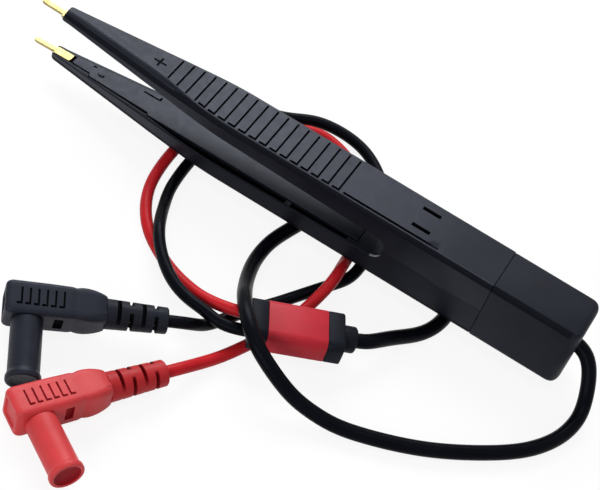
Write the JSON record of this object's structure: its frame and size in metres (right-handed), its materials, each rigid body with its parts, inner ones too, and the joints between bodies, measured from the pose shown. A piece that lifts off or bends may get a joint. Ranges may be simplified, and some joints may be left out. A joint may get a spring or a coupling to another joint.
{
  "type": "smd test tweezers",
  "caption": "Spring tweezers with ribbed arms and gold contact blades, wired by a cable and a splitter to red and black angled test plugs with pull-off guards.",
  "frame": {"origin": "middle of the tweezers' own box, between the outer faces of the arms, without the cords", "axes": "+X from the blade tips toward the end cap, +Y across the flat arms, +Z from the lower arm to the upper arm"},
  "size_m": [0.1672, 0.1401, 0.0229],
  "materials": {
    "body_plastic": "satin moulded",
    "cover_plastic": "satin moulded",
    "gold_plate": "plated, stamped edge",
    "crimp_steel": "drawn",
    "black_insulation": "soft jacket",
    "red_insulation": "soft jacket",
    "black_plastic": "moulded",
    "red_plastic": "moulded",
    "black_boot": "soft moulded",
    "red_boot": "soft moulded",
    "pin_brass": "plated"
  },
  "bodies": {
    "handle": {"upper_rear_shell": "body_plastic", "lower_rear_shell": "body_plastic", "upper_wire": "red_insulation", "lower_wire": "black_insulation", "end_cap": "body_plastic", "cable_ferrule": "crimp_steel", "main_cable": "black_insulation", "splitter_body": "black_plastic", "splitter_band": "red_plastic", "red_lead": "red_insulation", "black_lead": "black_insulation", "red_plug_handle": "red_plastic", "red_plug_boot": "red_boot", "red_plug_pin": "pin_brass", "red_plug_spring": "pin_brass", "black_plug_handle": "black_plastic", "black_plug_boot": "black_boot", "black_plug_pin": "pin_brass", "black_plug_spring": "pin_brass", "black_plug_guard": "black_plastic"},
    "upper_jaw": {"upper_arm": "body_plastic", "upper_cover": "cover_plastic", "upper_contact": "gold_plate"},
    "lower_jaw": {"lower_arm": "body_plastic", "lower_cover": "cover_plastic", "lower_contact": "gold_plate"},
    "red_guard": {"red_plug_guard": "red_plastic"}
  },
  "joints": [
    {"name": "upper_pinch", "type": "hinge", "parent": "handle", "child": "upper_jaw", "pos_m": [0.01724, 0, 0.0064], "axis": [0, -1, 0], "range_deg": [0, 3.78], "stiffness_Nm_per_rad": 2.5},
    {"name": "lower_pinch", "type": "hinge", "parent": "handle", "child": "lower_jaw", "pos_m": [0.01724, 0, -0.0064], "axis": [0, 1, 0], "range_deg": [0, 3.78], "stiffness_Nm_per_rad": 2.5},
    {"name": "red_guard_pull", "type": "slide", "parent": "handle", "child": "red_guard", "axis": [0.827, -0.5578, 0.0698], "range_m": [0, 0.014]}
  ],
  "couplings": [
    {"joint": "lower_pinch", "follows": "upper_pinch", "ratio": 1}
  ]
}
